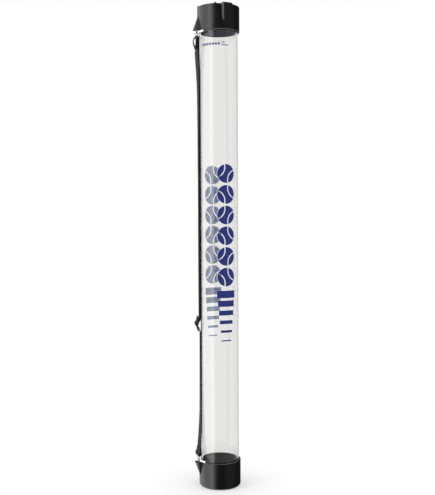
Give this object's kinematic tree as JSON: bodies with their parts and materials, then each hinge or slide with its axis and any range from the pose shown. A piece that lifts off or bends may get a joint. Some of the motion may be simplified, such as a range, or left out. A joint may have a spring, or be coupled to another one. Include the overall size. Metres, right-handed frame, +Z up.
{
  "type": "tennis ball pick-up tube",
  "caption": "Tall clear tube that picks up, stores and carries tennis balls, with black end caps, a springy slotted mouth and an adjustable clip-on shoulder strap.",
  "frame": {"origin": "middle of the base cap's flat underside, on the tube's axis", "axes": "+Z up the tube towards the mouth; -X is the side with the lugs and the strap; -Y is towards the slit and the thumb levers"},
  "size_m": [0.0973, 0.0834, 0.9558],
  "materials": {
    "clear_plastic": "clear, glossy, with a printed panel",
    "black_plastic": "satin moulded plastic",
    "nickel": "bright nickel plate",
    "black_webbing": "woven polypropylene webbing",
    "slider_plastic": "satin moulded plastic",
    "print_ink": "navy screen print on the tube"
  },
  "bodies": {
    "root": {"tube": "clear_plastic", "base_cap": "black_plastic", "mouth_collar": "black_plastic", "lower_hook_body": "nickel", "lower_gate_pin": "nickel", "lower_gate_spring": "nickel", "upper_hook_body": "nickel", "upper_gate_pin": "nickel", "upper_gate_spring": "nickel"},
    "petal_1": {"mouth_petal_1": "black_plastic"},
    "petal_2": {"mouth_petal_2": "black_plastic"},
    "petal_3": {"mouth_petal_3": "black_plastic"},
    "lower_gate": {"lower_hook_gate": "nickel"},
    "upper_gate": {"upper_hook_gate": "nickel"},
    "strap": {"lower_swivel_eye": "nickel", "upper_swivel_eye": "nickel", "strap_sewn_end": "black_webbing", "lower_strap": "black_webbing", "upper_strap_inner": "black_webbing", "upper_strap_outer": "black_webbing", "upper_strap_loop": "black_webbing"},
    "slider": {"slider": "slider_plastic", "slider_webbing": "black_webbing", "slider_tail_loop": "black_webbing"}
  },
  "joints": [
    {"name": "petal_1_flex", "type": "hinge", "parent": "root", "child": "petal_1", "pos_m": [0.03388, -0.02439, 0.9219], "axis": [0.5842, 0.8116, 0], "range_deg": [0, 6], "stiffness_Nm_per_rad": 1.5},
    {"name": "petal_2_flex", "type": "hinge", "parent": "root", "child": "petal_2", "pos_m": [0.00418, 0.04154, 0.9219], "axis": [-0.995, 0.1001, 0], "range_deg": [0, 6], "stiffness_Nm_per_rad": 1.5},
    {"name": "petal_3_flex", "type": "hinge", "parent": "root", "child": "petal_3", "pos_m": [-0.03807, -0.01715, 0.9219], "axis": [0.4108, -0.9117, 0], "range_deg": [0, 6], "stiffness_Nm_per_rad": 1.5},
    {"name": "lower_gate_pivot", "type": "hinge", "parent": "root", "child": "lower_gate", "pos_m": [-0.045, -0.0046, 0.0564], "axis": [1, 0, 0], "range_deg": [0, 25], "stiffness_Nm_per_rad": 0.01, "springref_deg": -5.73},
    {"name": "upper_gate_pivot", "type": "hinge", "parent": "root", "child": "upper_gate", "pos_m": [-0.045, -0.0046, 0.901], "axis": [-1, 0, 0], "range_deg": [0, 25], "stiffness_Nm_per_rad": 0.01, "springref_deg": -5.73},
    {"name": "strap_swivel", "type": "hinge", "parent": "root", "child": "strap", "pos_m": [-0.045, 0, 0.0597], "axis": [0, 0, 1], "range_deg": [0, 16]},
    {"name": "slider_slide", "type": "slide", "parent": "strap", "child": "slider", "axis": [0, 0, 1], "range_m": [0, 0.2], "deforming": ["lower_strap", "upper_strap_inner", "upper_strap_outer"]}
  ]
}
